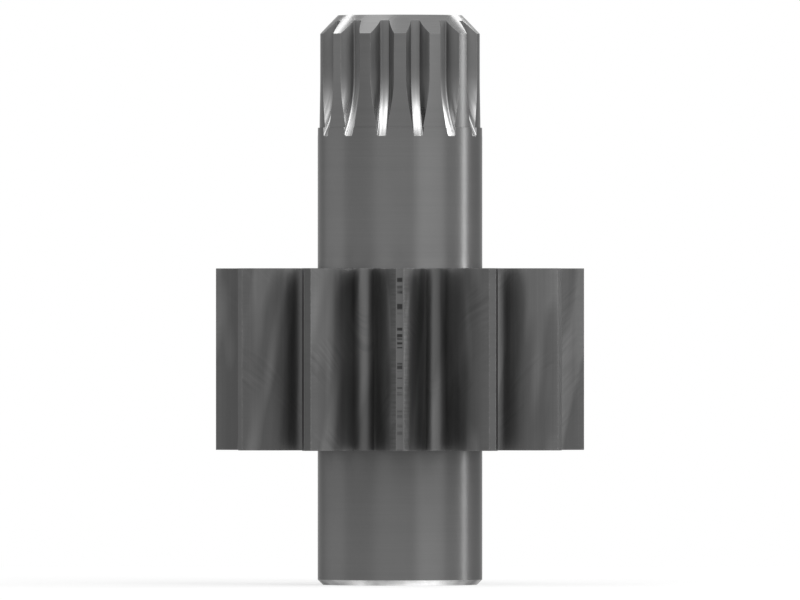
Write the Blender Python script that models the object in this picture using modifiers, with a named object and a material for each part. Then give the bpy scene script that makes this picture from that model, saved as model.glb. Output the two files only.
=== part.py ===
"""Oil pump gear: a spur gear cut in one piece with its shaft.

The shaft has a plain journal on each side of the gear and a splined drive end on top.
Units are metres. +Z runs along the shaft from its plain end to its splined end, and the
origin is the centre of the plain end's face. One gear tooth and one spline tooth are
centred on the -Y side.
"""

import math

import bmesh
import bpy
from mathutils import Matrix

# Lengths along the shaft, from the plain end up
LOWER_JOURNAL_LENGTH = 0.0260
GEAR_WIDTH = 0.0350
UPPER_JOURNAL_LENGTH = 0.0271
SPLINE_LENGTH = 0.0217

# Turned diameters and end chamfers at 45 degrees
JOURNAL_DIAMETER = 0.03175
SPLINE_OUTSIDE_DIAMETER = 0.0311
PLAIN_END_CHAMFER = 0.0010
SPLINE_END_CHAMFER = 0.0036

# Centre holes in both ends, which carry the shaft between centres while it is ground
CENTRE_HOLE_DIAMETER = 0.0067
CENTRE_HOLE_ANGLE = math.radians(60.0)
PILOT_DIAMETER = 0.00315
PILOT_LENGTH = 0.0022
PILOT_POINT_ANGLE = math.radians(118.0)

# Gear teeth: involute flanks with a full round root
GEAR_TEETH = 12
GEAR_MODULE = 0.00508
GEAR_PRESSURE_ANGLE = math.radians(30.0)
GEAR_TOOTH_THICKNESS = 0.00815
GEAR_ADDENDUM = 0.00502
GEAR_DEDENDUM = 0.00520
GEAR_ROOT_FILLET = 0.00215

# Spline teeth: involute, cut by a disc cutter that lifts out over the journal
SPLINE_TEETH = 14
SPLINE_MODULE = 0.0021167
SPLINE_PRESSURE_ANGLE = math.radians(30.0)
SPLINE_TOOTH_THICKNESS = 0.00307
SPLINE_ROOT_DIAMETER = 0.0261
SPLINE_ROOT_FILLET = 0.0003
SPLINE_FULL_DEPTH_LENGTH = 0.0118
SPLINE_CUTTER_DIAMETER = 0.0500

# Facets of the round and involute surfaces
TURNED_STEPS = 84
GEAR_FLANK_STEPS = 10
GEAR_FILLET_STEPS = 6
SPLINE_FLANK_STEPS = 4
SPLINE_FILLET_STEPS = 2
RUN_OUT_STEPS = 8

# How far each cutter reaches past the metal that it removes
CUTTER_REACH = 0.0005

# Narrowest tip that a pair of flanks leaves on a tooth
NARROWEST_TIP = 0.0002

# Points closer than this are one point, and edges bent more than this stay sharp
MERGE_DISTANCE = 0.000005
SHARP_ANGLE = math.radians(20.0)

# Directions of the first gear tooth and the first spline tooth, seen from above
FRONT = math.radians(-90.0)

# Heights worked out from the lengths
GEAR_BOTTOM = LOWER_JOURNAL_LENGTH
GEAR_TOP = GEAR_BOTTOM + GEAR_WIDTH
SHOULDER = GEAR_TOP + UPPER_JOURNAL_LENGTH
SHAFT_TOP = SHOULDER + SPLINE_LENGTH

# Radii worked out from the diameters and the tooth heights
JOURNAL_RADIUS = JOURNAL_DIAMETER / 2
SPLINE_RADIUS = SPLINE_OUTSIDE_DIAMETER / 2
GEAR_PITCH_RADIUS = GEAR_TEETH * GEAR_MODULE / 2
GEAR_RADIUS = GEAR_PITCH_RADIUS + GEAR_ADDENDUM
GEAR_ROOT_RADIUS = GEAR_PITCH_RADIUS - GEAR_DEDENDUM
SPLINE_ROOT_RADIUS = SPLINE_ROOT_DIAMETER / 2


def remove_scene_objects():
    """Start from an empty scene."""
    for item in list(bpy.data.objects):
        bpy.data.objects.remove(item, do_unlink=True)


def new_collection(name):
    """A collection linked to the scene."""
    collection = bpy.data.collections.new(name)
    bpy.context.scene.collection.children.link(collection)
    return collection


def steel_material():
    """Dark satin steel, as a hardened and ground gear shaft looks."""
    material = bpy.data.materials.new("satin_steel")
    material.use_nodes = True
    shader = material.node_tree.nodes["Principled BSDF"]
    shader.inputs["Base Color"].default_value = (0.16, 0.16, 0.16, 1.0)
    shader.inputs["Metallic"].default_value = 1.0
    shader.inputs["Roughness"].default_value = 0.32
    return material


def polar(radius, angle):
    """Point in the plane across the shaft."""
    return radius * math.cos(angle), radius * math.sin(angle)


class ToothSpace:
    """Outline of the space between two involute teeth, with its middle along +X.

    Angles are measured from that middle. The flank unwinds from the base circle, runs
    radially below it where the root is deeper, and joins the root circle by a fillet.
    """

    def __init__(self, teeth, module, pressure_angle, thickness, tip_radius, root_radius,
                 fillet, flank_steps, fillet_steps):
        pitch_radius = teeth * module / 2
        self.half_pitch = math.pi / teeth
        self.base_radius = pitch_radius * math.cos(pressure_angle)
        self.tip_radius = tip_radius
        self.root_radius = root_radius
        self.flank_steps = flank_steps
        self.fillet_steps = fillet_steps
        unwound = math.tan(pressure_angle) - pressure_angle
        self.base_angle = self.half_pitch - thickness / (2 * pitch_radius) - unwound
        self.fillet = min(fillet, self.widest_fillet())

    def fillet_place(self, fillet):
        """Roll angle where the fillet meets the flank, and its centre's radius and angle."""
        centre_radius = self.root_radius + fillet
        tangent = math.sqrt(max(centre_radius ** 2 - self.base_radius ** 2, 0.0))
        roll = (tangent - fillet) / self.base_radius
        if roll > 0.0:
            lean = math.acos(self.base_radius / centre_radius)
            return roll, centre_radius, self.base_angle + roll - lean
        return 0.0, centre_radius, self.base_angle - math.asin(fillet / centre_radius)

    def widest_fillet(self):
        """Fillet whose centre lies on the middle of the space, a full round root."""
        narrow = 0.0
        wide = self.root_radius * self.half_pitch
        for _ in range(50):
            middle = (narrow + wide) / 2
            if self.fillet_place(middle)[2] > 0.0:
                narrow = middle
            else:
                wide = middle
        return narrow

    def flank_point(self, roll):
        """Point of the flank at a roll angle; the tooth behind it keeps its narrowest tip."""
        radius = self.base_radius * math.hypot(1.0, roll)
        angle = self.base_angle + roll - math.atan(roll)
        widest = self.half_pitch - NARROWEST_TIP / (2 * radius)
        return polar(radius, min(angle, widest))

    def half_outline(self, mouth):
        """Points from the open mouth, a flat this far out, down a flank to mid root."""
        tip_roll = math.sqrt((self.tip_radius / self.base_radius) ** 2 - 1.0)
        low_roll, centre_radius, centre_angle = self.fillet_place(self.fillet)
        tip = self.flank_point(tip_roll)
        mouth_angle = (math.atan2(tip[1], tip[0]) + self.half_pitch) / 2
        points = [(mouth, mouth * math.tan(mouth_angle))]
        for step in range(self.flank_steps + 1):
            share = step / self.flank_steps
            points.append(self.flank_point(tip_roll + (low_roll - tip_roll) * share))
        centre = polar(centre_radius, centre_angle)
        start = self.base_angle + low_roll + math.pi / 2
        end = centre_angle + math.pi
        first = 1 if low_roll > 0.0 else 0
        for step in range(first, self.fillet_steps + 1):
            turn = start + (end - start) * step / self.fillet_steps
            across = polar(self.fillet, turn)
            points.append((centre[0] + across[0], centre[1] + across[1]))
        if points[-1][1] < MERGE_DISTANCE:
            points.pop()
        points.append((self.root_radius, 0.0))
        return points

    def outline(self, mouth):
        """Closed outline of the space, from its mouth down to the root and up again."""
        half = self.half_outline(mouth)
        other = [(x, -y) for x, y in reversed(half[:-1])]
        return half + other


def gear_space():
    """Space between two gear teeth."""
    return ToothSpace(GEAR_TEETH, GEAR_MODULE, GEAR_PRESSURE_ANGLE, GEAR_TOOTH_THICKNESS,
                      GEAR_RADIUS, GEAR_ROOT_RADIUS, GEAR_ROOT_FILLET,
                      GEAR_FLANK_STEPS, GEAR_FILLET_STEPS)


def spline_space():
    """Space between two spline teeth."""
    return ToothSpace(SPLINE_TEETH, SPLINE_MODULE, SPLINE_PRESSURE_ANGLE,
                      SPLINE_TOOTH_THICKNESS, SPLINE_RADIUS, SPLINE_ROOT_RADIUS,
                      SPLINE_ROOT_FILLET, SPLINE_FLANK_STEPS, SPLINE_FILLET_STEPS)


def centre_hole():
    """Radius and depth of a centre hole's corners, from its drilled point to its mouth."""
    mouth = CENTRE_HOLE_DIAMETER / 2
    pilot = PILOT_DIAMETER / 2
    cone_depth = (mouth - pilot) / math.tan(CENTRE_HOLE_ANGLE / 2)
    pilot_depth = cone_depth + PILOT_LENGTH
    point_depth = pilot_depth + pilot / math.tan(PILOT_POINT_ANGLE / 2)
    return [(0.0, point_depth), (pilot, pilot_depth), (pilot, cone_depth), (mouth, 0.0)]


def blank_profile():
    """Radius and height along the turned blank, from the axis on top down to the axis below."""
    hole = centre_hole()
    profile = [(radius, SHAFT_TOP - depth) for radius, depth in hole]
    profile += [
        (SPLINE_RADIUS - SPLINE_END_CHAMFER, SHAFT_TOP),
        (SPLINE_RADIUS, SHAFT_TOP - SPLINE_END_CHAMFER),
        (SPLINE_RADIUS, SHOULDER),
        (JOURNAL_RADIUS, SHOULDER),
        (JOURNAL_RADIUS, GEAR_TOP),
        (GEAR_RADIUS, GEAR_TOP),
        (GEAR_RADIUS, GEAR_BOTTOM),
        (JOURNAL_RADIUS, GEAR_BOTTOM),
        (JOURNAL_RADIUS, PLAIN_END_CHAMFER),
        (JOURNAL_RADIUS - PLAIN_END_CHAMFER, 0.0),
    ]
    profile += [(radius, depth) for radius, depth in reversed(hole)]
    return profile


def turned_blank(name, collection):
    """The blank as it leaves the lathe: its profile turned about the shaft."""
    points = [(radius, 0.0, height) for radius, height in blank_profile()]
    edges = [(index, index + 1) for index in range(len(points) - 1)]
    mesh = bpy.data.meshes.new(name)
    mesh.from_pydata(points, edges, [])
    blank = bpy.data.objects.new(name, mesh)
    collection.objects.link(blank)
    screw = blank.modifiers.new("turned", "SCREW")
    screw.axis = "Z"
    screw.angle = math.tau
    screw.steps = TURNED_STEPS
    screw.render_steps = TURNED_STEPS
    screw.use_merge_vertices = True
    screw.merge_threshold = MERGE_DISTANCE
    return blank


def extruded_outline(name, points, width, height):
    """A flat outline extruded along the shaft, centred on a height, as one closed mesh."""
    curve = bpy.data.curves.new(name + "_outline", "CURVE")
    curve.dimensions = "2D"
    curve.fill_mode = "BOTH"
    curve.extrude = width / 2
    spline = curve.splines.new("POLY")
    spline.points.add(len(points) - 1)
    for point, (x, y) in zip(spline.points, points):
        point.co = (x, y, 0.0, 1.0)
    spline.use_cyclic_u = True
    outline = bpy.data.objects.new(name + "_outline", curve)
    outline.location.z = height
    bpy.context.scene.collection.objects.link(outline)
    bpy.context.view_layer.update()
    evaluated = outline.evaluated_get(bpy.context.evaluated_depsgraph_get())
    mesh = bpy.data.meshes.new_from_object(evaluated)
    mesh.name = name
    body = bmesh.new()
    body.from_mesh(mesh)
    bmesh.ops.remove_doubles(body, verts=body.verts, dist=MERGE_DISTANCE)
    bmesh.ops.recalc_face_normals(body, faces=body.faces)
    body.to_mesh(mesh)
    body.free()
    solid = bpy.data.objects.new(name, mesh)
    solid.matrix_world = outline.matrix_world
    bpy.data.objects.remove(outline, do_unlink=True)
    return solid


def swept_groove(name, points, straight, cutter_radius, lift_angle, height):
    """A groove's metal: its section run straight up, and down round the cutter's arc."""
    body = bmesh.new()
    section = body.faces.new([body.verts.new((x, y, 0.0)) for x, y in points])
    top = bmesh.ops.extrude_face_region(body, geom=[section])["geom"]
    top_corners = [item for item in top if isinstance(item, bmesh.types.BMVert)]
    bmesh.ops.translate(body, verts=top_corners, vec=(0.0, 0.0, straight))
    floor = min(x for x, _ in points)
    bmesh.ops.spin(
        body,
        geom=list(section.verts) + list(section.edges) + [section],
        cent=(floor + cutter_radius, 0.0, 0.0),
        axis=(0.0, -1.0, 0.0),
        angle=lift_angle,
        steps=RUN_OUT_STEPS,
    )
    bmesh.ops.recalc_face_normals(body, faces=body.faces)
    mesh = bpy.data.meshes.new(name)
    body.to_mesh(mesh)
    body.free()
    solid = bpy.data.objects.new(name, mesh)
    solid.location.z = height
    return solid


def repeat_round_shaft(cutter, teeth, collection):
    """Copy the space on +X to every space of the ring, and keep it as a cutter."""
    body = bmesh.new()
    body.from_mesh(cutter.data)
    first = list(body.verts) + list(body.edges) + list(body.faces)
    pitch = math.tau / teeth
    first_space = FRONT + pitch / 2
    for index in range(1, teeth):
        copy = bmesh.ops.duplicate(body, geom=first)["geom"]
        corners = [item for item in copy if isinstance(item, bmesh.types.BMVert)]
        turn = Matrix.Rotation(first_space + index * pitch, 3, "Z")
        bmesh.ops.rotate(body, verts=corners, cent=(0.0, 0.0, 0.0), matrix=turn)
    turn = Matrix.Rotation(first_space, 3, "Z")
    corners = [item for item in first if isinstance(item, bmesh.types.BMVert)]
    bmesh.ops.rotate(body, verts=corners, cent=(0.0, 0.0, 0.0), matrix=turn)
    body.to_mesh(cutter.data)
    body.free()
    collection.objects.link(cutter)
    cutter.hide_render = True
    cutter.display_type = "WIRE"


def gear_space_cutters(collection):
    """Cutters for the spaces between the gear teeth, right across the gear's width."""
    points = gear_space().outline(GEAR_RADIUS + CUTTER_REACH)
    cutter = extruded_outline("gear_space_cutters", points, GEAR_WIDTH + 2 * CUTTER_REACH,
                              (GEAR_BOTTOM + GEAR_TOP) / 2)
    repeat_round_shaft(cutter, GEAR_TEETH, collection)
    return cutter


def spline_groove_cutters(collection):
    """Cutters for the spline grooves, which run out in an arc over the journal."""
    surface = max(SPLINE_RADIUS, JOURNAL_RADIUS) + CUTTER_REACH
    points = spline_space().outline(surface)
    cutter_radius = SPLINE_CUTTER_DIAMETER / 2
    rise = min(surface - SPLINE_ROOT_RADIUS, cutter_radius)
    lift_angle = math.acos(1.0 - rise / cutter_radius)
    cutter = swept_groove("spline_groove_cutters", points,
                          SPLINE_FULL_DEPTH_LENGTH + CUTTER_REACH, cutter_radius,
                          lift_angle, SHAFT_TOP - SPLINE_FULL_DEPTH_LENGTH)
    repeat_round_shaft(cutter, SPLINE_TEETH, collection)
    return cutter


def cut(part, cutter):
    """Cut one body of cutters out of a part."""
    modifier = part.modifiers.new(cutter.name, "BOOLEAN")
    modifier.operation = "DIFFERENCE"
    modifier.solver = "EXACT"
    modifier.object = cutter


def finish(part, material):
    """Apply the cuts, shade the round surfaces smooth and keep the machined edges sharp."""
    bpy.context.view_layer.update()
    evaluated = part.evaluated_get(bpy.context.evaluated_depsgraph_get())
    mesh = bpy.data.meshes.new_from_object(evaluated)
    mesh.name = part.name
    part.modifiers.clear()
    part.data = mesh
    mesh.shade_smooth()
    mesh.set_sharp_from_angle(angle=SHARP_ANGLE)
    mesh.materials.clear()
    mesh.materials.append(material)


def build():
    """Turn the blank, cut the gear teeth, then cut the spline."""
    remove_scene_objects()
    parts = new_collection("oil_pump_gear")
    cutters = new_collection("cutters")
    shaft = turned_blank("drive_gear_shaft", parts)
    cut(shaft, gear_space_cutters(cutters))
    cut(shaft, spline_groove_cutters(cutters))
    finish(shaft, steel_material())


build()
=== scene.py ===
"""Looks of the oil pump gear: the finely shaped steel part, its studio and its camera.

Units are metres. +Z runs along the shaft from its plain end to its splined end, the floor
is at z = 0, and one gear tooth and one spline tooth are centred on the -Y side, which
faces the camera.
"""

import math
from collections import namedtuple

import bmesh
import bpy
import numpy as np
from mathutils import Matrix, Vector


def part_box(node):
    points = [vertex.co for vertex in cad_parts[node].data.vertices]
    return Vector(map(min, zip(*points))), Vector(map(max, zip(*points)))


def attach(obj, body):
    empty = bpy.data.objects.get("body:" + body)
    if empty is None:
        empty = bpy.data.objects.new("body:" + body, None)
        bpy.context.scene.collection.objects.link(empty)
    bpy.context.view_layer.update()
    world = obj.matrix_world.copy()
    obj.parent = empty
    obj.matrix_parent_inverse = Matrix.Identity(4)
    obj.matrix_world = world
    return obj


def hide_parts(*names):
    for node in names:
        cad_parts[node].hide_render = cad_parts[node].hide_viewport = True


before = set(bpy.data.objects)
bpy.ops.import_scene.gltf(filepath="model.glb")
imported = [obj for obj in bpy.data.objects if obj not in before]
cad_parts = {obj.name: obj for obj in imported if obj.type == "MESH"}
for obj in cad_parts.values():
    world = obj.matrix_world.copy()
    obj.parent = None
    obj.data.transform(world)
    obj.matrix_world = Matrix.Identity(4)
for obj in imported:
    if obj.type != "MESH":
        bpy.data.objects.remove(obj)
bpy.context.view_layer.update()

# Overall sizes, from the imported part's highest corner
NODE = "drive_gear_shaft"
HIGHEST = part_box(NODE)[1]
SHAFT_TOP = HIGHEST[2]
GEAR_RADIUS = HIGHEST[0]

# Heights along the shaft: the gear's two end faces, the small shoulder at which the splined
# end begins, and where the groove cutter begins to lift
GEAR_BOTTOM = 0.0260
GEAR_WIDTH = 0.0350
GEAR_TOP = GEAR_BOTTOM + GEAR_WIDTH
UPPER_JOURNAL_LENGTH = 0.0271
SHOULDER = GEAR_TOP + UPPER_JOURNAL_LENGTH
FULL_DEPTH_LENGTH = 0.0118
LIFT_START = SHAFT_TOP - FULL_DEPTH_LENGTH

# Turned radii, and end chamfers at 45 degrees
JOURNAL_RADIUS = 0.03175 / 2
SPLINE_RADIUS = 0.0311 / 2
PLAIN_END_CHAMFER = 0.0010
SPLINE_END_CHAMFER = 0.0036

# Centre holes: their radii, the length of their pilot, the half angles of their cone and of
# their drilled point, and from these the depths of their corners
HOLE_MOUTH = 0.0067 / 2
HOLE_PILOT = 0.00315 / 2
HOLE_PILOT_LENGTH = 0.0022
HOLE_CONE_HALF_ANGLE = math.radians(30.0)
HOLE_POINT_HALF_ANGLE = math.radians(59.0)
HOLE_CONE_DEPTH = (HOLE_MOUTH - HOLE_PILOT) / math.tan(HOLE_CONE_HALF_ANGLE)
HOLE_PILOT_DEPTH = HOLE_CONE_DEPTH + HOLE_PILOT_LENGTH
HOLE_POINT_DEPTH = HOLE_PILOT_DEPTH + HOLE_PILOT / math.tan(HOLE_POINT_HALF_ANGLE)

# Gear teeth and spline teeth: their spaces are involute with a filleted root. Thickness is
# a tooth's at the pitch circle, and root and tip are radii. The grooves' outline goes on
# past the journal, whose circle then cuts it off
PAST_JOURNAL = 0.0005
GEAR = {"teeth": 12, "module": 0.00508, "thickness": 0.00815,
        "root": 0.02528, "fillet": 0.00215, "tip": GEAR_RADIUS}
SPLINE = {"teeth": 14, "module": 0.0021167, "thickness": 0.00307,
          "root": 0.01305, "fillet": 0.0003, "tip": JOURNAL_RADIUS + PAST_JOURNAL}
PRESSURE_ANGLE = math.radians(30.0)

# The groove cutter lifts out in an arc, and leaves the metal at this height
CUTTER_RADIUS = 0.0250
CUTTER_RISE = JOURNAL_RADIUS - SPLINE["root"]
RUN_OUT_END = LIFT_START - math.sqrt(CUTTER_RADIUS ** 2 - (CUTTER_RADIUS - CUTTER_RISE) ** 2)

# Edges left by deburring, and the height of the small shoulder's slope
FACE_EDGE = 0.00005
TIP_EDGE = 0.00004
SHOULDER_SLOPE = 0.00003

# Width of the band beside an edge in which wear has brightened the steel
EDGE_BAND = 0.00035

# The mesh has the same number of columns of faces all round at every height. These are the
# columns in half a gear tooth and half its space, on half the tooth's land, in half a spline
# tooth and half its groove, in half the groove, and along half the groove's bottom
GEAR_COLUMNS = 42
LAND_COLUMNS = 6
SPLINE_COLUMNS = 36
GROOVE_COLUMNS = 24
BOTTOM_COLUMNS = 12
COLUMNS = 2 * GEAR["teeth"] * GEAR_COLUMNS

# Direction of the teeth in front, the angle above which an edge is sharp, and a length that
# counts as nothing: corners this close to each other become one
FRONT = math.radians(-90.0)
SHARP_ANGLE = math.radians(24.0)
TINY = 1e-7

# Steps of the finely sampled outlines: along the floor, the fillet and the flank
GEAR_OUTLINE_STEPS = (0, 24, 60)
SPLINE_OUTLINE_STEPS = (24, 40, 200)

# A groove has walls where its line is this many times as long as its bottom
SHALLOW_GROOVE = 1.15

# Numbers of heights in the cutter's run-out below and above the small shoulder, and in the
# end chamfer outside and inside the radius at which the grooves' root fillets begin
RUN_OUT_LOW_STEPS = 12
RUN_OUT_HIGH_STEPS = 24
CHAMFER_WALL_STEPS = 8
CHAMFER_FILLET_STEPS = 8
FILLET_TOP = 0.01330

# Materials of the part, in the order of its material slots
SURFACES = ("ground_journal", "ground_flank", "turned_land", "turned_face", "milled_groove",
            "turned_chamfer", "end_chamfer", "drilled_hole")

# How each surface looks. Its marks are the fine lines of its last machining, with the way
# that they run, their width, length and slope, and how strong the broad bands among them are.
# The marks change its tone and its roughness by these shares, and stains change its tone by
# theirs; on the end chamfer the stains are painted glints. Its worn edges have their own grey
LOOKS = {
    "ground_journal": {
        "grey": 0.110, "worn_grey": 0.15, "rough": 0.30, "marks": "round", "width": 0.00025,
        "length": 0.020, "slope": 0.003, "bands": 1.0, "tone_change": 0.020,
        "rough_change": 0.006, "stains_and_glints": 0.03},
    "ground_flank": {
        "grey": 0.102, "worn_grey": 0.15, "rough": 0.37, "marks": "along", "width": 0.00022,
        "length": 0.025, "slope": 0.008, "bands": 2.0, "tone_change": 0.035,
        "rough_change": 0.030, "stains_and_glints": 0.03},
    "turned_land": {
        "grey": 0.104, "worn_grey": 0.15, "rough": 0.35, "marks": "round", "width": 0.00040,
        "length": 0.006, "slope": 0.004, "bands": 1.0, "tone_change": 0.02,
        "rough_change": 0.020, "stains_and_glints": 0.03},
    "turned_face": {
        "grey": 0.115, "worn_grey": 0.17, "rough": 0.32, "marks": "rings", "width": 0.00022,
        "length": 0.010, "slope": 0.020, "bands": 3.0, "tone_change": 0.06,
        "rough_change": 0.060, "stains_and_glints": 0.03},
    "milled_groove": {
        "grey": 0.108, "worn_grey": 0.19, "rough": 0.27, "marks": "grooves", "width": 0.00042,
        "length": 0.011, "slope": 0.012, "bands": 1.5, "tone_change": 0.05,
        "rough_change": 0.050, "stains_and_glints": 0.03},
    # The turned chamfer's grey, twice that of the steel around it, is a painted highlight of the
    # light from above
    "turned_chamfer": {
        "grey": 0.220, "worn_grey": 0.27, "rough": 0.22, "marks": "rings", "width": 0.00025,
        "length": 0.010, "slope": 0.006, "bands": 2.0, "tone_change": 0.04,
        "rough_change": 0.015, "stains_and_glints": 0.03},
    # The end chamfer's light grey is a painted reflection of the bright floor below it, and its
    # strong stains are painted glints
    "end_chamfer": {
        "grey": 0.520, "worn_grey": 0.52, "rough": 0.26, "marks": "rings", "width": 0.00015,
        "length": 0.010, "slope": 0.020, "bands": 2.0, "tone_change": 0.05,
        "rough_change": 0.050, "stains_and_glints": 0.88},
    "drilled_hole": {
        "grey": 0.110, "worn_grey": 0.17, "rough": 0.34, "marks": "rings", "width": 0.00015,
        "length": 0.010, "slope": 0.030, "bands": 2.0, "tone_change": 0.06,
        "rough_change": 0.060, "stains_and_glints": 0.03},
}

# Radius of the circle through the noise that a turned ring follows, which sets how often its
# tone changes in one turn, and the scale of the broad bands beside that of the fine marks
RING_CIRCLE = 1.5
BAND_SCALE = 0.16

# Most of a noise lies between these values
NOISE_LOW = 0.3
NOISE_HIGH = 0.7

# How fine the stains and the end chamfer's painted glints are and the grain of worn edges, the
# least wear that a grain leaves on an edge, and how quickly wear fades beside one
STAINS_AND_GLINTS_PER_METRE = 90.0
GRAINS_PER_METRE = 4200.0
LEAST_WEAR = 0.2
WEAR_FADE = 2.0

# Painted light and shade: where a surface is painted brighter or darker than its grey, as
# heights or distances from the shaft's axis, with the gain at each. The lower journal is painted
# brighter at the plain end and carries the gear's painted shadow close under it, and the upper
# one is painted brightest at its foot. The tooth flanks are painted bright low down, which
# lightens the deep tooth spaces, and a little darker above their middle. A groove is painted
# brightest at the foot of its walls, which lightens the deep grooves, and its run-out has a
# painted glint
# Painted light and shade on the journals: lighter at the plain end and at the upper journal's
# foot, and the gear's painted shadow close under the gear
JOURNAL_PAINTED_LIGHT_AND_SHADOW = ("height", ((0.0025, 1.09), (0.0080, 1.07), (0.0130, 1.0), (0.0190, 0.96),
                           (0.0245, 0.93), (GEAR_TOP, 1.35), (0.0640, 1.12), (0.0720, 1.06),
                           (0.0850, 1.04), (0.0890, 1.0)))
# Painted light on the flanks low down, which lightens the deep tooth spaces, and a little darker
# above their middle
FLANK_PAINTED_LIGHT = ("radius", ((0.02580, 1.0), (0.02700, 1.25), (0.02880, 1.25), (0.03000, 1.0),
                         (0.03150, 0.90), (0.03320, 0.88), (0.03450, 1.0)))
# Painted light at the foot of the groove walls, which lightens the deep grooves
WALL_PAINTED_LIGHT = ("radius", ((0.01305, 1.22), (0.01350, 1.30), (0.01430, 1.25), (0.01540, 1.0)))
# Painted glint in each groove's run-out, strongest at its end
RUN_OUT_PAINTED_GLINT = ("height", ((RUN_OUT_END, 3.0), (SHOULDER, 2.7), (0.0915, 1.95), (0.0938, 1.5),
                           (0.0960, 1.25), (0.1000, 1.0)))
PAINTED_LIGHT_GAINS = {
    "ground_journal": (JOURNAL_PAINTED_LIGHT_AND_SHADOW,),
    "ground_flank": (FLANK_PAINTED_LIGHT,),
    "milled_groove": (WALL_PAINTED_LIGHT, RUN_OUT_PAINTED_GLINT),
}

# How much more a groove's marks change its tone, most of all where the cutter left it
STREAKIER = {"milled_groove": ("height", ((0.0915, 0.60), (0.0960, 0.05)))}

# How much rougher a groove is where the cutter ran straight, and the bottom of a tooth
# space, where nothing wears it
ROUGHER = {
    "milled_groove": ("height", ((0.0915, 0.0), (LIFT_START, 0.31))),
    "ground_flank": ("radius", ((0.02700, 0.06), (0.03200, 0.0))),
}

# Short dark lines that the tool left across the tooth lands: how they are numbered up the
# gear, where they are closer together below, their length round it, how much of the land
# they take up, how soft their edges are, and the tone of the darkest
DASH_NUMBERS = ("height", ((GEAR_BOTTOM, 408.0), (0.0500, 444.0), (GEAR_TOP, 451.0)))
DASH_LENGTH = 0.0150
DASH_SHARE = 0.39
DASH_SOFTNESS = 0.09
DASH_TONE = 0.28

# How strong these lines are up the gear, how much of them other teeth show than the one in
# front, the places along Y between which that tooth's marks give way to the others', the
# middle of its lines, and how far from there they begin and end to fade
DASH_FADE = ("height", ((0.0330, 0.45), (0.0400, 0.75), (0.0440, 1.0)))
DASH_ELSEWHERE = 0.05
FRONT_TOOTH = (-0.0350, -0.0320)
DASH_MIDDLE = -0.00005
DASH_REACH = (0.00046, 0.00056)

# Fine lines across the flanks beside a tooth's tip: their width and length, how much they
# change the tone of the tooth in front and of the others, and the distances from the axis at
# which they begin and are full
TIP_LINE_WIDTH = 0.0005
TIP_LINE_LENGTH = 0.0060
TIP_LINE_TONE = 0.16
TIP_LINE_ELSEWHERE = 0.03
TIP_LINE_REACH = (0.0336, 0.0349)

# How the tooth lands differ in tone from tooth to tooth: the size of the noise that sets it,
# its strength, and where it is read
LAND_SIZE = 0.015
LAND_TONE = 0.30
LAND_PLACE = (1.02, 1.37, 2.97)

# Grey of the steel's mirror light edge on
EDGE_ON_GREY = 0.55

# How strongly a surface's marks stretch its mirror light, and by what part of a turn that
# stretch is turned: the journals' marks run round the shaft, and stretch the light along it
STRETCH = (0.25, 0.0)
JOURNAL_STRETCH = (0.45, 0.25)

# Broad unevenness of the flanks: its size across and along the shaft, its slant and slope,
# how much it changes the tone, and the values of its noise between which the tone changes
WAVE_WIDTH = 0.0050
WAVE_LENGTH = 0.060
WAVE_SLANT = -0.12
WAVE_SLOPE = 0.060
WAVE_TONE = 0.16
WAVE_EDGES = (0.45, 0.55)

# Where the noise of the waves, and that of the stains and the end chamfer's painted glints, is
# read, which sets where they fall
WAVE_PLACE = (28.57, 36.84, 15.8)
STAIN_AND_GLINT_PLACE = (0.42, 0.93, 1.98)

# Fine sweeping marks across parts of the flanks: their width, length, slant and bend, the
# size of the places that have them, the values of those places' noise between which the
# marks appear, where that noise is read, and how much the marks change the tone
SWEEP_WIDTH = 0.00060
SWEEP_LENGTH = 0.0120
SWEEP_SLANT = math.radians(50.0)
SWEEP_BEND = 0.0025
SWEEP_PLACE = 0.011
SWEEP_EDGES = (0.54, 0.66)
SWEEP_SHIFT = (0.05, 0.04, 0.03)
SWEEP_TONE = 0.12

# The camera looks level along +Y, at the height of the picture's middle, from where its long
# lens takes in this width at the shaft
FRAME_WIDTH = 0.1543
CAMERA_HEIGHT = 0.0549
LENS = 1000.0
SENSOR = 36.0
LEVEL = math.radians(90.0)
FAR_CLIP = 100.0

# White light from all round, as a share of the full white that the camera sees
WORLD_FILL = 0.50

# The floor: its white, roughness, size, number of sides and gap under the part. Near the
# part it has this share of the backdrop's glow, and it fades into the white backdrop between
# these distances from the part
FLOOR_WHITE = 0.9
FLOOR_ROUGH = 0.9
FLOOR_RADIUS = 6.0
FLOOR_SIDES = 96
FLOOR_GAP = 0.00002
FLOOR_GLOW = 0.58
FADE_START = 0.05
FADE_END = 0.30

# Soft panels that face the middle of the part, at these azimuths (to the right of the
# camera), elevations, distances, widths, heights and brightnesses. One of brightness 1 looks
# white, and gives this many watts from each square metre
MIDDLE = Vector((0.0, 0.0, 0.055))
WATTS_PER_WHITE = 4.0
PANELS = {
    "right_strip": (102.0, 6.0, 1.2, 0.14, 1.3, 6.8),
    "front_right": (44.0, 8.0, 1.5, 1.15, 1.0, 0.80),
    "front": (-13.0, 8.0, 1.5, 1.30, 1.0, 0.30),
    "left": (-107.0, 8.0, 1.5, 1.30, 1.0, 0.38),
    "high_front_right": (30.0, 36.0, 1.3, 0.75, 0.60, 3.6),
    "high_front_left": (-30.0, 36.0, 1.3, 0.75, 0.50, 2.4),
    "high_right": (85.0, 32.0, 1.3, 0.75, 0.45, 2.8),
    "high_left": (-85.0, 32.0, 1.3, 0.75, 0.35, 0.9),
    "back_right": (150.0, 28.0, 1.3, 0.36, 0.36, 5.0),
    "back_left": (-142.0, 38.0, 1.3, 0.26, 0.22, 5.0),
    "overhead": (-115.0, 70.0, 1.3, 0.60, 0.60, 0.6),
}

# What a material reads about a point: radius is its distance from the shaft's axis
Place = namedtuple("Place", "position x y radius height")


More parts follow.
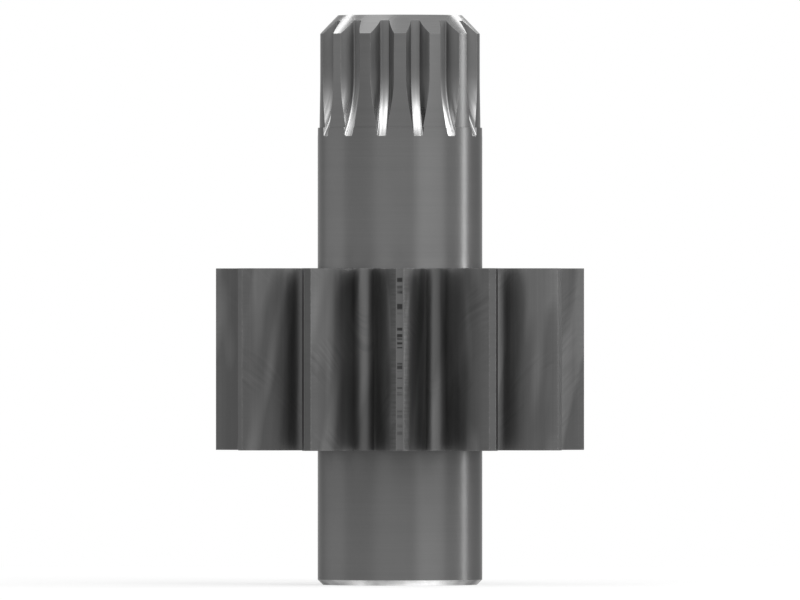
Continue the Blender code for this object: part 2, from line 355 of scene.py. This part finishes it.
def solve_space(space):
    """Add the base circle and the place of the root fillet to a tooth form."""
    pitch_radius = space["teeth"] * space["module"] / 2
    base = pitch_radius * math.cos(PRESSURE_ANGLE)
    unwound = math.tan(PRESSURE_ANGLE) - PRESSURE_ANGLE
    space["half_pitch"] = math.pi / space["teeth"]
    space["base"] = base
    space["base_angle"] = space["half_pitch"] - space["thickness"] / (2 * pitch_radius) - unwound
    centre = space["root"] + space["fillet"]
    tangent = math.sqrt(max(centre ** 2 - base ** 2, 0.0))
    space["low_roll"] = max((tangent - space["fillet"]) / base, 0.0)
    if space["low_roll"] > 0.0:
        lean = space["low_roll"] - math.acos(base / centre)
    else:
        lean = -math.asin(space["fillet"] / centre)
    space["centre"] = (centre, space["base_angle"] + lean)
    space["tip_roll"] = math.sqrt((space["tip"] / base) ** 2 - 1.0)


def space_outline(space, floor_steps, fillet_steps, flank_steps):
    """Points (x, y) of half a tooth space, from its middle along +X out along one flank."""
    radius, middle = space["centre"]
    fillet_start = middle + math.pi
    fillet_end = space["base_angle"] + space["low_roll"] + math.pi / 2
    floor = np.linspace(0.0, middle, floor_steps + 1)[:-1]
    turn = np.linspace(fillet_start, fillet_end, fillet_steps + 1)
    roll = np.linspace(space["low_roll"], space["tip_roll"], flank_steps + 1)[1:]
    flank_radius = space["base"] * np.hypot(1.0, roll)
    flank_angle = space["base_angle"] + roll - np.arctan(roll)
    across = np.concatenate([
        space["root"] * np.cos(floor),
        radius * math.cos(middle) + space["fillet"] * np.cos(turn),
        flank_radius * np.cos(flank_angle)])
    along = np.concatenate([
        space["root"] * np.sin(floor),
        radius * math.sin(middle) + space["fillet"] * np.sin(turn),
        flank_radius * np.sin(flank_angle)])
    return np.stack([across, along], axis=1)


def lengths_along(line):
    """Length of a line up to each of its points."""
    return np.concatenate([[0.0], np.cumsum(np.hypot(*np.diff(line, axis=0).T))])


def points_at(line, places):
    """Points of a line at these lengths along it."""
    travelled = lengths_along(line)
    return np.stack([np.interp(places, travelled, line[:, axis]) for axis in (0, 1)], axis=1)


def resample(line, count):
    """The same line with a number of points at equal steps along it."""
    return points_at(line, np.linspace(0.0, lengths_along(line)[-1], count))


def resample_groove(line, bottom):
    """Half a groove's line with equal steps along its bottom, which is this long, and equal
    steps up its wall. Where the groove is too shallow for a wall, the steps all shrink."""
    length = lengths_along(line)[-1]
    full = max(length, bottom * SHALLOW_GROOVE)
    places = np.concatenate([
        np.linspace(0.0, bottom, BOTTOM_COLUMNS + 1),
        np.linspace(bottom, full, GROOVE_COLUMNS - BOTTOM_COLUMNS + 1)[1:]])
    return points_at(line, places * length / full)


def from_tooth(line, space):
    """Radius and angle of an outline's points, the angle now from the tooth's middle."""
    angles = space["half_pitch"] - np.arctan2(line[:, 1], line[:, 0])
    return np.hypot(line[:, 0], line[:, 1]), angles


def all_round(radii, angles, teeth):
    """A ring of points from half a pitch, given from a tooth's middle to its space's."""
    pitch = math.tau / teeth
    radii = np.concatenate([radii[:-1], radii[:0:-1]])
    angles = np.concatenate([angles[:-1], (pitch - angles)[:0:-1]])
    turns = (FRONT + np.arange(teeth)[:, None] * pitch + angles[None, :]).ravel()
    radii = np.tile(radii, teeth)
    return np.stack([radii * np.cos(turns), radii * np.sin(turns)], axis=1)


def even_ring(radius):
    """A plain circle of evenly spaced points."""
    turns = FRONT + np.arange(COLUMNS) * math.tau / COLUMNS
    return np.stack([radius * np.cos(turns), radius * np.sin(turns)], axis=1)


def gear_ring(inset):
    """The gear's outline, drawn in by an edge break."""
    radii, angles = from_tooth(space_outline(GEAR, *GEAR_OUTLINE_STEPS), GEAR)
    flank = np.stack([radii * np.cos(angles), radii * np.sin(angles)], axis=1)
    flank = resample(flank, GEAR_COLUMNS + 1 - LAND_COLUMNS)[::-1]
    # Flank and land both stop short of the tip's corner, which leaves its edge break
    step = flank[1] - flank[0]
    flank[0] = flank[0] + step * TIP_EDGE / np.hypot(*step)
    land = np.linspace(0.0, angles[-1] - TIP_EDGE / GEAR_RADIUS, LAND_COLUMNS)
    land = np.stack([GEAR_RADIUS * np.cos(land), GEAR_RADIUS * np.sin(land)], axis=1)
    half = np.concatenate([land, flank])
    # The inset runs at right angles to the outline, and straight in at both of its ends
    forward = np.gradient(half, axis=0)
    inward = np.stack([-forward[:, 1], forward[:, 0]], axis=1)
    inward /= np.hypot(inward[:, 0], inward[:, 1])[:, None]
    inward[0] = (-1.0, 0.0)
    inward[-1] = (-math.cos(GEAR["half_pitch"]), -math.sin(GEAR["half_pitch"]))
    half = half + inward * inset
    return all_round(np.hypot(half[:, 0], half[:, 1]), np.arctan2(half[:, 1], half[:, 0]),
                     GEAR["teeth"])


def drawn_in(ring, distance):
    """The same ring with each point this much nearer to the shaft's axis."""
    radii = np.hypot(ring[:, 0], ring[:, 1])
    return ring * ((radii - distance) / radii)[:, None]


def rounded(ring, radius):
    """A circle whose points have the same directions as a ring's."""
    return ring * (radius / np.hypot(ring[:, 0], ring[:, 1]))[:, None]


def spline_ring(radius, drop):
    """The splined shaft's outline where it is turned to a radius and the groove cutter has
    travelled this far along the shaft since it began to lift."""
    outline = space_outline(SPLINE, *SPLINE_OUTLINE_STEPS)
    # Each point of the cutter's edge runs in a circle round the cutter's axis
    reach = CUTTER_RADIUS - (outline[:, 0] - SPLINE["root"])
    outline[:, 0] = SPLINE["root"] + CUTTER_RADIUS - np.sqrt(reach ** 2 - drop ** 2)
    # The groove ends where its outline last crosses the shaft's circle
    outside = np.hypot(outline[:, 0], outline[:, 1]) > radius
    rim = len(outside) - int(np.argmin(outside[::-1]))
    low, high = np.hypot(*outline[rim - 1]), np.hypot(*outline[rim])
    share = (radius - low) / (high - low)
    crossing = outline[rim - 1] + (outline[rim] - outline[rim - 1]) * share
    bottom = lengths_along(outline)[sum(SPLINE_OUTLINE_STEPS[:2])]
    groove = resample_groove(np.concatenate([outline[:rim], crossing[None, :]]), bottom)
    groove_radii, groove_angles = from_tooth(groove[::-1], SPLINE)
    groove_radii = np.minimum(groove_radii, radius)
    land = np.linspace(0.0, groove_angles[0], SPLINE_COLUMNS - GROOVE_COLUMNS + 1)[:-1]
    radii = np.concatenate([np.full(len(land), radius), groove_radii])
    return all_round(radii, np.concatenate([land, groove_angles]), SPLINE["teeth"])


def lower_rows():
    """Rows from the plain end's centre hole up to the top of the gear's toothing."""
    journal = even_ring(JOURNAL_RADIUS)
    outline, broken_outline = gear_ring(0.0), gear_ring(FACE_EDGE)
    beside_outline = drawn_in(broken_outline, EDGE_BAND)
    return [
        (even_ring(HOLE_PILOT), HOLE_PILOT_DEPTH, "drilled_hole"),
        (even_ring(HOLE_PILOT), HOLE_CONE_DEPTH, "drilled_hole"),
        (even_ring(HOLE_MOUTH), 0.0, "drilled_hole"),
        (even_ring(HOLE_MOUTH + EDGE_BAND), 0.0, "turned_face"),
        (even_ring(JOURNAL_RADIUS - PLAIN_END_CHAMFER - EDGE_BAND), 0.0, "turned_face"),
        (even_ring(JOURNAL_RADIUS - PLAIN_END_CHAMFER), 0.0, "turned_face"),
        (journal, PLAIN_END_CHAMFER, "end_chamfer"),
        (journal, PLAIN_END_CHAMFER + EDGE_BAND, "ground_journal"),
        (journal, GEAR_BOTTOM, "ground_journal"),
        (even_ring(JOURNAL_RADIUS + EDGE_BAND), GEAR_BOTTOM, "turned_face"),
        (beside_outline, GEAR_BOTTOM, "turned_face"),
        (broken_outline, GEAR_BOTTOM, "turned_face"),
        (outline, GEAR_BOTTOM + FACE_EDGE, "ground_flank"),
        (outline, GEAR_BOTTOM + FACE_EDGE + EDGE_BAND, "ground_flank"),
        (outline, GEAR_TOP - FACE_EDGE - EDGE_BAND, "ground_flank"),
        (outline, GEAR_TOP - FACE_EDGE, "ground_flank"),
        (broken_outline, GEAR_TOP, "ground_flank"),
        (beside_outline, GEAR_TOP, "turned_face"),
    ]


def upper_journal_rows():
    """Rows of the upper journal. Their points have the directions of the ring in which the
    grooves end, so that the columns run straight up into it."""
    groove_ends = spline_ring(JOURNAL_RADIUS, LIFT_START - RUN_OUT_END)
    journal = rounded(groove_ends, JOURNAL_RADIUS)
    return [
        (rounded(groove_ends, JOURNAL_RADIUS + EDGE_BAND), GEAR_TOP, "turned_face"),
        (journal, GEAR_TOP, "turned_face"),
        (journal, RUN_OUT_END - EDGE_BAND, "ground_journal"),
    ]


def groove_rows():
    """Rows of the grooves, from the foot of their run-outs up through the end chamfer."""
    rows = []
    for height in np.linspace(RUN_OUT_END, SHOULDER, RUN_OUT_LOW_STEPS + 1):
        surface = "milled_groove" if height > RUN_OUT_END else "ground_journal"
        rows.append((spline_ring(JOURNAL_RADIUS, LIFT_START - height), height, surface))
    shoulder_foot = SHOULDER + SHOULDER_SLOPE
    for height in np.linspace(shoulder_foot, LIFT_START, RUN_OUT_HIGH_STEPS + 1):
        rows.append((spline_ring(SPLINE_RADIUS, LIFT_START - height), height, "milled_groove"))
    chamfer_start = SHAFT_TOP - SPLINE_END_CHAMFER
    full_depth = spline_ring(SPLINE_RADIUS, 0.0)
    rows.append((full_depth, chamfer_start - EDGE_BAND, "milled_groove"))
    rows.append((full_depth, chamfer_start, "milled_groove"))
    for radius in np.concatenate([
            np.linspace(SPLINE_RADIUS, FILLET_TOP, CHAMFER_WALL_STEPS + 1)[1:],
            np.linspace(FILLET_TOP, SPLINE["root"] + TINY, CHAMFER_FILLET_STEPS + 1)[1:]]):
        height = chamfer_start + SPLINE_RADIUS - radius
        rows.append((spline_ring(radius, 0.0), height, "milled_groove"))
    return rows


def splined_end_rows():
    """Rows from the end chamfer, inside the grooves, over the end face into its hole."""
    full_depth = spline_ring(SPLINE_RADIUS, 0.0)
    end_radius = SPLINE_RADIUS - SPLINE_END_CHAMFER
    return [
        (rounded(full_depth, end_radius + EDGE_BAND), SHAFT_TOP - EDGE_BAND, "turned_chamfer"),
        (rounded(full_depth, end_radius), SHAFT_TOP, "turned_chamfer"),
        (even_ring(end_radius - EDGE_BAND), SHAFT_TOP, "turned_face"),
        (even_ring(HOLE_MOUTH + EDGE_BAND), SHAFT_TOP, "turned_face"),
        (even_ring(HOLE_MOUTH), SHAFT_TOP, "turned_face"),
        (even_ring(HOLE_PILOT), SHAFT_TOP - HOLE_CONE_DEPTH, "drilled_hole"),
        (even_ring(HOLE_PILOT), SHAFT_TOP - HOLE_PILOT_DEPTH, "drilled_hole"),
    ]


def on_land(column, columns, land):
    """True where a column of faces is one of those on the land of a tooth, when half a tooth
    and half a space have this many columns together."""
    place = column % (2 * columns)
    return not land <= place < 2 * columns - land


def own_surface(surface, height, column):
    """The surface of one face: tooth lands were turned, and only what is between was cut."""
    if surface == "ground_flank" and on_land(column, GEAR_COLUMNS, LAND_COLUMNS):
        return "turned_land"
    if surface == "milled_groove":
        if on_land(column, SPLINE_COLUMNS, SPLINE_COLUMNS - GROOVE_COLUMNS):
            if height > SHAFT_TOP - SPLINE_END_CHAMFER + TINY:
                return "turned_chamfer"
            return "ground_journal"
    return surface


def mark_edges(body):
    """Shade sharp edges as sharp, and those where milling met another surface. Give each
    corner on a sharp outward edge the value 1, from which its wear fades."""
    milled = SURFACES.index("milled_groove")
    layer = body.verts.layers.float.new("edge")
    for face in body.faces:
        face.smooth = True
    for edge in body.edges:
        sharp = edge.calc_face_angle() > SHARP_ANGLE
        kinds = [face.material_index == milled for face in edge.link_faces]
        edge.smooth = not sharp and kinds[0] == kinds[1]
        if sharp and edge.is_convex:
            for corner in edge.verts:
                corner[layer] = 1.0


def part_mesh():
    """One closed mesh of the whole part, with a material to each kind of surface. A row is
    a ring of points, its height and the surface between it and the row before."""
    rows = lower_rows() + upper_journal_rows() + groove_rows() + splined_end_rows()
    corners = np.concatenate([
        np.concatenate([ring, np.full((COLUMNS, 1), height)], axis=1)
        for ring, height, _ in rows])
    low_point, high_point = len(corners), len(corners) + 1
    corners = np.concatenate([corners, [(0.0, 0.0, HOLE_POINT_DEPTH),
                                        (0.0, 0.0, SHAFT_TOP - HOLE_POINT_DEPTH)]])
    faces, surfaces = [], []
    for row, (_, height, surface) in enumerate(rows[1:], start=1):
        low, high = (row - 1) * COLUMNS, row * COLUMNS
        for column in range(COLUMNS):
            after = (column + 1) % COLUMNS
            faces.append((low + column, low + after, high + after, high + column))
            surfaces.append(SURFACES.index(own_surface(surface, height, column)))
    last = (len(rows) - 1) * COLUMNS
    for column in range(COLUMNS):
        after = (column + 1) % COLUMNS
        faces.append((after, column, low_point))
        faces.append((last + column, last + after, high_point))
        surfaces += [SURFACES.index("drilled_hole")] * 2
    mesh = bpy.data.meshes.new("pump_gear_steel")
    mesh.from_pydata([tuple(corner) for corner in corners], [], faces)
    mesh.polygons.foreach_set("material_index", surfaces)
    body = bmesh.new()
    body.from_mesh(mesh)
    bmesh.ops.remove_doubles(body, verts=body.verts, dist=TINY)
    bmesh.ops.dissolve_degenerate(body, edges=body.edges, dist=TINY)
    bmesh.ops.recalc_face_normals(body, faces=body.faces)
    mark_edges(body)
    body.to_mesh(mesh)
    body.free()
    return mesh


def join(tree, value, socket):
    """Set a socket to a plain value, or link another node's output to it."""
    if isinstance(value, bpy.types.NodeSocket):
        tree.links.new(value, socket)
    else:
        socket.default_value = value


def calculate(tree, operation, *values):
    """Result of a maths node."""
    node = tree.nodes.new("ShaderNodeMath")
    node.operation = operation
    for value, socket in zip(values, node.inputs):
        join(tree, value, socket)
    return node.outputs[0]


def grey(level):
    """A plain grey as a node's colour."""
    return (level, level, level, 1.0)


def product(tree, values):
    """All these values multiplied."""
    result = values[0]
    for value in values[1:]:
        result = calculate(tree, "MULTIPLY", result, value)
    return result


def vector_result(tree, operation, vector, other):
    """Result of a vector maths node on a vector and three plain numbers."""
    node = tree.nodes.new("ShaderNodeVectorMath")
    node.operation = operation
    join(tree, vector, node.inputs[0])
    node.inputs[1].default_value = other
    return node.outputs[0]


def scaled(tree, vector, x, y, z):
    """A vector with each of its axes scaled."""
    return vector_result(tree, "MULTIPLY", vector, (x, y, z))


def moved(tree, vector, step):
    """A vector with a step added to it."""
    return vector_result(tree, "ADD", vector, step)


def combined(tree, x, y, z):
    """A vector made of three values."""
    node = tree.nodes.new("ShaderNodeCombineXYZ")
    for value, socket in zip((x, y, z), node.inputs):
        join(tree, value, socket)
    return node.outputs[0]


def noise(tree, vector, detail, scale=1.0):
    """Soft noise between 0 and 1 with its middle at a half. Detail is how many finer layers
    of noise lie on it."""
    node = tree.nodes.new("ShaderNodeTexNoise")
    node.inputs["Scale"].default_value = scale
    node.inputs["Detail"].default_value = detail
    join(tree, vector, node.inputs["Vector"])
    return node.outputs["Fac"]


def spread(tree, value, low, high, start=NOISE_LOW, end=NOISE_HIGH):
    """A value between start and end mapped onto the range from low to high."""
    node = tree.nodes.new("ShaderNodeMapRange")
    join(tree, value, node.inputs["Value"])
    for name, limit in (("From Min", start), ("From Max", end), ("To Min", low),
                        ("To Max", high)):
        node.inputs[name].default_value = limit
    return node.outputs["Result"]


def varied(tree, noise_value, change):
    """1, give or take a change that follows some noise."""
    return calculate(tree, "MULTIPLY_ADD", spread(tree, noise_value, -1.0, 1.0), change, 1.0)


def object_position(tree):
    """Position on the object itself."""
    return tree.nodes.new("ShaderNodeTexCoord").outputs["Object"]


def shaft_place(tree):
    """Where a point is: its position, x, y, distance from the shaft's axis and height."""
    position = object_position(tree)
    split = tree.nodes.new("ShaderNodeSeparateXYZ")
    join(tree, position, split.inputs[0])
    x, y, height = split.outputs
    squares = calculate(tree, "ADD", calculate(tree, "MULTIPLY", x, x),
                        calculate(tree, "MULTIPLY", y, y))
    return Place(position, x, y, calculate(tree, "SQRT", squares), height)


def curve(tree, kind, stops):
    """A value that changes with height or radius through these places."""
    point = shaft_place(tree)
    place = point.radius if kind == "radius" else point.height
    value = stops[0][1]
    for (start, low), (end, high) in zip(stops, stops[1:]):
        value = calculate(tree, "ADD", spread(tree, place, 0.0, high - low, start, end), value)
    return value


def mark_field(tree, direction, width, length):
    """Coordinates in which machining marks of a width and a length are one unit each. The
    marks run round the shaft, along it, along its grooves or in rings on its faces."""
    point = shaft_place(tree)
    if direction == "round":
        return scaled(tree, point.position, 1 / length, 1 / length, 1 / width)
    if direction == "along":
        return scaled(tree, point.position, 1 / width, 1 / width, 1 / length)
    # On the axis itself there is no distance to divide by
    distance = calculate(tree, "MAXIMUM", point.radius, width)
    turn_x = calculate(tree, "DIVIDE", point.x, distance)
    turn_y = calculate(tree, "DIVIDE", point.y, distance)
    if direction == "grooves":
        turns = combined(tree, turn_x, turn_y, point.height)
        return scaled(tree, turns, SPLINE["root"] / width, SPLINE["root"] / width, 1 / length)
    return combined(tree, calculate(tree, "MULTIPLY", turn_x, RING_CIRCLE),
                    calculate(tree, "MULTIPLY", turn_y, RING_CIRCLE),
                    calculate(tree, "DIVIDE", point.radius, width))


def wave_noise(tree):
    """Noise of the flanks' broad, slanting unevenness."""
    point = shaft_place(tree)
    slant = calculate(tree, "MULTIPLY", point.height, WAVE_SLANT)
    field = combined(
        tree,
        calculate(tree, "DIVIDE", calculate(tree, "ADD", point.x, slant), WAVE_WIDTH),
        calculate(tree, "DIVIDE", calculate(tree, "ADD", point.y, slant), WAVE_WIDTH),
        calculate(tree, "DIVIDE", point.height, WAVE_LENGTH))
    return noise(tree, moved(tree, field, WAVE_PLACE), detail=1.0)


def sweeps(tree):
    """Tone of a flank with fine sweeping marks across parts of it."""
    point = shaft_place(tree)
    bend = noise(tree, point.position, detail=0.0, scale=1 / SWEEP_PLACE)
    bend = calculate(tree, "MULTIPLY", bend, SWEEP_BEND)
    cosine, sine = math.cos(SWEEP_SLANT), math.sin(SWEEP_SLANT)
    along = calculate(tree, "ADD", calculate(tree, "MULTIPLY", point.height, sine),
                      calculate(tree, "MULTIPLY", point.radius, cosine))
    across = calculate(tree, "SUBTRACT", calculate(tree, "MULTIPLY", point.height, cosine),
                       calculate(tree, "MULTIPLY", point.radius, sine))
    across = calculate(tree, "ADD", across, bend)
    field = combined(tree, calculate(tree, "DIVIDE", along, SWEEP_LENGTH),
                     calculate(tree, "DIVIDE", across, SWEEP_WIDTH),
                     calculate(tree, "DIVIDE", point.x, SWEEP_PLACE))
    parts = noise(tree, moved(tree, point.position, SWEEP_SHIFT), detail=1.0,
                  scale=1 / SWEEP_PLACE)
    change = spread(tree, parts, 0.0, SWEEP_TONE, *SWEEP_EDGES)
    return varied(tree, noise(tree, field, detail=2.0), change)


def dashes(tree):
    """Tone of a tooth land with short dark lines across it."""
    point = shaft_place(tree)
    field = combined(tree, calculate(tree, "DIVIDE", point.x, DASH_LENGTH),
                     calculate(tree, "DIVIDE", point.y, DASH_LENGTH),
                     curve(tree, *DASH_NUMBERS))
    lines = spread(tree, noise(tree, field, detail=1.0), 1.0 - DASH_TONE, 0.0, DASH_SHARE,
                   DASH_SHARE + DASH_SOFTNESS)
    aside = calculate(tree, "ABSOLUTE", calculate(tree, "SUBTRACT", point.x, DASH_MIDDLE))
    shown = calculate(tree, "MULTIPLY", spread(tree, aside, 1.0, 0.0, *DASH_REACH),
                      spread(tree, point.y, 1.0, 0.0, *FRONT_TOOTH))
    shown = calculate(tree, "MAXIMUM", shown, DASH_ELSEWHERE)
    shown = calculate(tree, "MULTIPLY", shown, curve(tree, *DASH_FADE))
    return calculate(tree, "SUBTRACT", 1.0, calculate(tree, "MULTIPLY", lines, shown))


def tip_lines(tree):
    """Tone of a flank with fine lines across it, which fade below the tooth's tip."""
    point = shaft_place(tree)
    field = scaled(tree, point.position, 1 / TIP_LINE_LENGTH, 1 / TIP_LINE_LENGTH,
                   1 / TIP_LINE_WIDTH)
    shown = calculate(tree, "MULTIPLY", spread(tree, point.radius, 0.0, 1.0, *TIP_LINE_REACH),
                      spread(tree, point.y, TIP_LINE_TONE, TIP_LINE_ELSEWHERE, *FRONT_TOOTH))
    return varied(tree, noise(tree, field, detail=1.0), shown)


def land_tones(tree):
    """Tone of a tooth land, which is a little lighter or darker from tooth to tooth."""
    field = scaled(tree, object_position(tree), 1 / LAND_SIZE, 1 / LAND_SIZE, 0.0)
    return varied(tree, noise(tree, moved(tree, field, LAND_PLACE), detail=0.0), LAND_TONE)


def wear(tree):
    """Wear of the edges, full on an edge and fading beside it, broken up by fine grain."""
    edge = tree.nodes.new("ShaderNodeAttribute")
    edge.attribute_name = "edge"
    grain = noise(tree, object_position(tree), detail=2.0, scale=GRAINS_PER_METRE)
    worn = calculate(tree, "MULTIPLY", edge.outputs["Fac"], spread(tree, grain, LEAST_WEAR, 1.0))
    return calculate(tree, "POWER", worn, WEAR_FADE)


def roughness(tree, name, fine, stain_and_glint):
    """Roughness of a surface, which its marks change, and its stains by half as much."""
    look = LOOKS[name]
    change = look["rough_change"]
    uneven = calculate(tree, "ADD", spread(tree, fine, -change, change),
                       spread(tree, stain_and_glint, -change / 2, change / 2))
    if name in ROUGHER:
        uneven = calculate(tree, "ADD", uneven, curve(tree, *ROUGHER[name]))
    return calculate(tree, "ADD", uneven, look["rough"])


def bump(tree, height, distance):
    """A bump node, with a height of 1 raised by this distance."""
    node = tree.nodes.new("ShaderNodeBump")
    node.inputs["Distance"].default_value = distance
    join(tree, height, node.inputs["Height"])
    return node


def steel(name):
    """Satin steel with the marks of its last machining, faint stains and brighter edges, and on
    some surfaces painted light, shade and glints.
    """
    look = LOOKS[name]
    material = bpy.data.materials.new(name)
    material.use_nodes = True
    tree = material.node_tree
    shader = tree.nodes["Principled BSDF"]
    stretch, turn = JOURNAL_STRETCH if name == "ground_journal" else STRETCH
    shader.inputs["Metallic"].default_value = 1.0
    shader.inputs["Anisotropic"].default_value = stretch
    shader.inputs["Anisotropic Rotation"].default_value = turn
    shader.inputs["Specular Tint"].default_value = grey(EDGE_ON_GREY)

    field = mark_field(tree, look["marks"], look["width"], look["length"])
    fine = noise(tree, field, detail=2.0)
    broad = noise(tree, field, detail=2.0, scale=BAND_SCALE)
    # Noise of the stains, which on the end chamfer paints glints
    stain_and_glint = noise(tree, moved(tree, object_position(tree), STAIN_AND_GLINT_PLACE), detail=3.0,
                  scale=STAINS_AND_GLINTS_PER_METRE)
    change = look["tone_change"]
    if name in STREAKIER:
        change = calculate(tree, "ADD", curve(tree, *STREAKIER[name]), change)
    tones = [varied(tree, fine, change), varied(tree, broad, change),
             varied(tree, stain_and_glint, look["stains_and_glints"])]
    # Painted light and shade, on the surfaces that have it
    tones += [curve(tree, *gain) for gain in PAINTED_LIGHT_GAINS.get(name, ())]
    relief = calculate(tree, "ADD", fine, calculate(tree, "MULTIPLY", broad, look["bands"]))
    marks = bump(tree, relief, look["slope"] * look["width"])
    if name == "turned_land":
        tones += [dashes(tree), land_tones(tree)]
    if name == "ground_flank":
        waves = wave_noise(tree)
        tones += [sweeps(tree), tip_lines(tree),
                  spread(tree, waves, 1.0 - WAVE_TONE, 1.0 + WAVE_TONE, *WAVE_EDGES)]
        unevenness = bump(tree, waves, WAVE_SLOPE * WAVE_WIDTH)
        join(tree, unevenness.outputs["Normal"], marks.inputs["Normal"])

    level = calculate(tree, "MULTIPLY", product(tree, tones), look["grey"])
    worn = calculate(tree, "MULTIPLY", wear(tree), look["worn_grey"] - look["grey"])
    level = calculate(tree, "ADD", level, worn)
    join(tree, combined(tree, level, level, level), shader.inputs["Base Color"])
    join(tree, roughness(tree, name, fine, stain_and_glint), shader.inputs["Roughness"])
    join(tree, marks.outputs["Normal"], shader.inputs["Normal"])
    return material


def add_part():
    """The steel part, in place of the CAD node."""
    part = bpy.data.objects.new("pump_gear_steel", part_mesh())
    bpy.context.scene.collection.objects.link(part)
    for name in SURFACES:
        part.data.materials.append(steel(name))
    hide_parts(NODE)
    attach(part, "root")


def add_camera():
    """A long lens, level with the middle of the part."""
    data = bpy.data.cameras.new("camera")
    data.lens = LENS
    data.sensor_width = SENSOR
    data.clip_end = FAR_CLIP
    camera = bpy.data.objects.new("camera", data)
    camera.location = (0.0, -FRAME_WIDTH * LENS / SENSOR, CAMERA_HEIGHT)
    camera.rotation_euler = (LEVEL, 0.0, 0.0)
    bpy.context.scene.collection.objects.link(camera)
    bpy.context.scene.camera = camera


def seen_ray(tree):
    """1 for rays from the camera and for those mirrored or bent by a surface."""
    path = tree.nodes.new("ShaderNodeLightPath").outputs
    seen = calculate(tree, "MAXIMUM", path["Is Camera Ray"], path["Is Glossy Ray"])
    return calculate(tree, "MAXIMUM", seen, path["Is Transmission Ray"])


def add_world():
    """White light from all round, seen at full white and weaker as a lamp."""
    world = bpy.data.worlds.new("studio")
    world.use_nodes = True
    tree = world.node_tree
    strength = spread(tree, seen_ray(tree), WORLD_FILL, 1.0, 0.0, 1.0)
    background = tree.nodes["Background"]
    background.inputs["Color"].default_value = grey(1.0)
    join(tree, strength, background.inputs["Strength"])
    bpy.context.scene.world = world


def mixed(tree, share, first, second):
    """Two shaders mixed, with this share of the second."""
    node = tree.nodes.new("ShaderNodeMixShader")
    for value, socket in zip((share, first, second), node.inputs):
        join(tree, value, socket)
    return node.outputs[0]


def floor_material():
    """Pale floor that takes the part's shadow and fades into the white backdrop. It is clear
    from below, so that it doesn't hide the part's lower end there."""
    material = bpy.data.materials.new("floor")
    material.use_nodes = True
    tree = material.node_tree
    shader = tree.nodes["Principled BSDF"]
    shader.inputs["Base Color"].default_value = grey(FLOOR_WHITE)
    shader.inputs["Roughness"].default_value = FLOOR_ROUGH
    shader.inputs["Specular IOR Level"].default_value = 0.0
    far = spread(tree, shaft_place(tree).radius, FLOOR_GLOW, 1.0, FADE_START, FADE_END)
    backdrop = tree.nodes.new("ShaderNodeEmission").outputs[0]
    clear = tree.nodes.new("ShaderNodeBsdfTransparent").outputs[0]
    below = tree.nodes.new("ShaderNodeNewGeometry").outputs["Backfacing"]
    above = mixed(tree, calculate(tree, "MULTIPLY", far, seen_ray(tree)), shader.outputs[0],
                  backdrop)
    surface = mixed(tree, below, above, clear)
    join(tree, surface, tree.nodes["Material Output"].inputs["Surface"])
    return material


def add_floor():
    """A plain round floor, just below the part."""
    mesh = bpy.data.meshes.new("floor")
    body = bmesh.new()
    bmesh.ops.create_circle(body, cap_ends=True, segments=FLOOR_SIDES, radius=FLOOR_RADIUS)
    body.to_mesh(mesh)
    body.free()
    mesh.materials.append(floor_material())
    floor = bpy.data.objects.new("floor", mesh)
    floor.location.z = -FLOOR_GAP
    bpy.context.scene.collection.objects.link(floor)


def add_panel(name, azimuth, elevation, distance, width, height, brightness):
    """A soft panel that faces the part and isn't seen itself."""
    azimuth, elevation = math.radians(azimuth), math.radians(elevation)
    direction = Vector((math.sin(azimuth) * math.cos(elevation),
                        -math.cos(azimuth) * math.cos(elevation), math.sin(elevation)))
    data = bpy.data.lights.new(name, "AREA")
    data.shape = "RECTANGLE"
    data.size = width
    data.size_y = height
    data.energy = brightness * WATTS_PER_WHITE * width * height
    panel = bpy.data.objects.new(name, data)
    panel.location = MIDDLE + direction * distance
    panel.rotation_euler = (-direction).to_track_quat("-Z", "Y").to_euler()
    panel.visible_camera = False
    bpy.context.scene.collection.objects.link(panel)


def main():
    """Build the part and its studio."""
    solve_space(GEAR)
    solve_space(SPLINE)
    add_part()
    add_world()
    add_floor()
    for name, panel in PANELS.items():
        add_panel(name, *panel)
    add_camera()
    bpy.context.scene.view_settings.view_transform = "Standard"


main()
